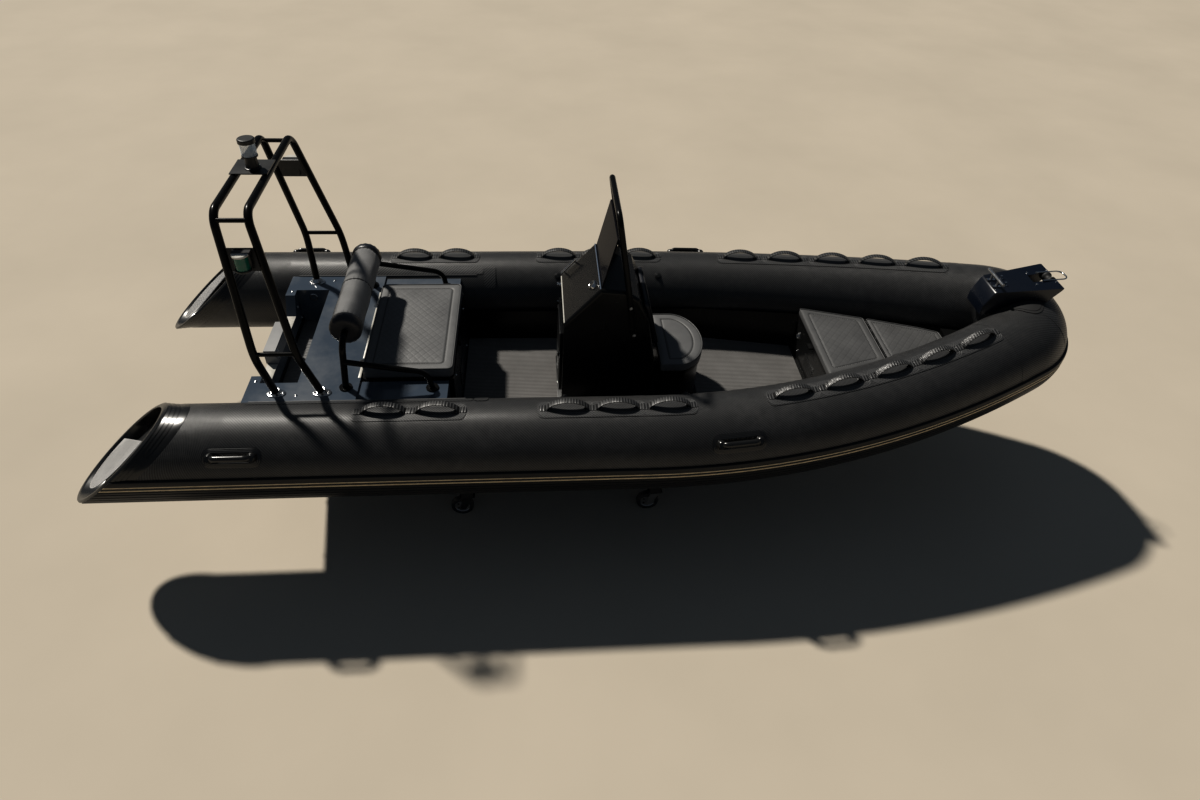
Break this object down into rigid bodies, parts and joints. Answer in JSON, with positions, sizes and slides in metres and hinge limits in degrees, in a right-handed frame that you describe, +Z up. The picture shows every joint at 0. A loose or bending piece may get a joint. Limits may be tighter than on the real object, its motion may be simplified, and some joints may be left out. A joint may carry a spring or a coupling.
{
  "type": "inflatable rib boat",
  "caption": "Inflatable boat with a rigid vee hull, helm console, light arch, hinged cushioned seats and bow step, standing on a low wheeled cradle.",
  "frame": {"origin": "on the floor, below the middle of the overall box", "axes": "+X to the bow, +Y to port, +Z up"},
  "size_m": [5.1555, 1.864, 1.944],
  "materials": {
    "tube_fabric": "matte coated fabric",
    "black_moulding": "gloss black moulding",
    "strake_rubber": "satin black rubber",
    "hull_gelcoat": "gloss black gelcoat",
    "sole_foam": "grooved foam mat",
    "deck_gelcoat": "gloss dark deck",
    "grey_vinyl": "matte marine vinyl",
    "roll_cloth": "woven cover",
    "black_vinyl": "black vinyl",
    "black_tube": "gloss black coat",
    "polished_steel": "polished stainless steel",
    "clear_lens": "clear lens",
    "green_lens": "green lens",
    "red_lens": "red lens",
    "smoked_screen": "smoked acrylic",
    "console_satin": "satin dark moulding",
    "patch_rubber": "ribbed rubber patch",
    "webbing": "woven webbing",
    "black_plastic": "matte black plastic",
    "roller_rubber": "black rubber",
    "bunk_carpet": "dark carpet",
    "wheel_rubber": "solid rubber tread",
    "zinc_steel": "zinc plated steel",
    "cradle_paint": "dark painted steel"
  },
  "bodies": {
    "boat": {"collar_aft": "tube_fabric", "collar_fore": "tube_fabric", "collar_bow": "tube_fabric", "stern_cones": "black_moulding", "rubbing_strake": "strake_rubber", "hull": "hull_gelcoat", "sole_mat": "sole_foam", "aft_deck": "deck_gelcoat", "transom_board": "black_plastic", "stern_seat_box": "console_satin", "backrest_roll": "roll_cloth", "backrest_caps": "black_vinyl", "backrest_frame": "black_tube", "arch_frame": "black_tube", "arch_feet": "polished_steel", "arch_plates": "black_tube", "beacon_lens": "clear_lens", "beacon_body": "black_plastic", "side_light_green": "green_lens", "side_light_red": "red_lens", "console_body": "console_satin", "windscreen": "smoked_screen", "console_hoop": "black_tube", "console_fittings": "polished_steel", "console_backrest": "black_vinyl", "fore_seat_base": "hull_gelcoat", "bow_locker": "hull_gelcoat", "bow_cushion_fore": "grey_vinyl", "bow_patch": "patch_rubber", "bow_step": "black_moulding", "loop_pads": "patch_rubber", "loop_straps": "webbing", "side_handles": "black_plastic", "air_valves": "black_plastic", "deck_fittings": "polished_steel", "cradle_bunks": "bunk_carpet", "cradle_frame": "cradle_paint"},
    "stern_lid": {"stern_seat_lid": "console_satin", "stern_seat_cushion": "grey_vinyl"},
    "console_door": {"console_door": "console_satin"},
    "fore_lid": {"fore_seat_lid": "console_satin", "fore_seat_cushion": "grey_vinyl"},
    "bow_lid": {"bow_locker_lid": "console_satin", "bow_cushion_aft": "grey_vinyl"},
    "bow_roller": {"bow_roller": "roller_rubber"},
    "fork_fore_starboard": {"caster_fork_fore_starboard": "zinc_steel"},
    "fork_fore_port": {"caster_fork_fore_port": "zinc_steel"},
    "wheel_aft_starboard": {"caster_wheel_aft_starboard": "wheel_rubber"},
    "wheel_aft_port": {"caster_wheel_aft_port": "wheel_rubber"},
    "wheel_fore_starboard": {"caster_wheel_fore_starboard": "wheel_rubber"},
    "wheel_fore_port": {"caster_wheel_fore_port": "wheel_rubber"}
  },
  "joints": [
    {"name": "stern_lid_hinge", "type": "hinge", "parent": "boat", "child": "stern_lid", "pos_m": [-1.22833, 0, 0.8865], "axis": [0, -1, 0], "range_deg": [0, 60]},
    {"name": "console_door_hinge", "type": "hinge", "parent": "boat", "child": "console_door", "pos_m": [-0.23983, 0.1745, 0.79], "axis": [0, 0, -1], "range_deg": [0, 110]},
    {"name": "fore_lid_hinge", "type": "hinge", "parent": "boat", "child": "fore_lid", "pos_m": [0.35267, 0.2285, 0.7475], "axis": [-1, 0, 0], "range_deg": [0, 80]},
    {"name": "bow_lid_hinge", "type": "hinge", "parent": "boat", "child": "bow_lid", "pos_m": [1.55467, 0, 0.7955], "axis": [0, 1, 0], "range_deg": [0, 75]},
    {"name": "bow_roller_spin", "type": "hinge", "parent": "boat", "child": "bow_roller", "pos_m": [2.41467, 0, 1.184], "axis": [0, 1, 0], "continuous": true},
    {"name": "swivel_fore_starboard", "type": "hinge", "parent": "boat", "child": "fork_fore_starboard", "pos_m": [0.28067, -0.505, 0.1], "axis": [0, 0, 1], "continuous": true},
    {"name": "spin_fore_starboard", "type": "hinge", "parent": "fork_fore_starboard", "child": "wheel_fore_starboard", "pos_m": [0.24667, -0.505, 0.062], "axis": [0, 1, 0], "continuous": true},
    {"name": "spin_aft_starboard", "type": "hinge", "parent": "boat", "child": "wheel_aft_starboard", "pos_m": [-0.78633, -0.505, 0.062], "axis": [0, 1, 0], "continuous": true},
    {"name": "swivel_fore_port", "type": "hinge", "parent": "boat", "child": "fork_fore_port", "pos_m": [0.28067, 0.505, 0.1], "axis": [0, 0, 1], "continuous": true},
    {"name": "spin_fore_port", "type": "hinge", "parent": "fork_fore_port", "child": "wheel_fore_port", "pos_m": [0.24667, 0.505, 0.062], "axis": [0, 1, 0], "continuous": true},
    {"name": "spin_aft_port", "type": "hinge", "parent": "boat", "child": "wheel_aft_port", "pos_m": [-0.78633, 0.505, 0.062], "axis": [0, 1, 0], "continuous": true}
  ]
}
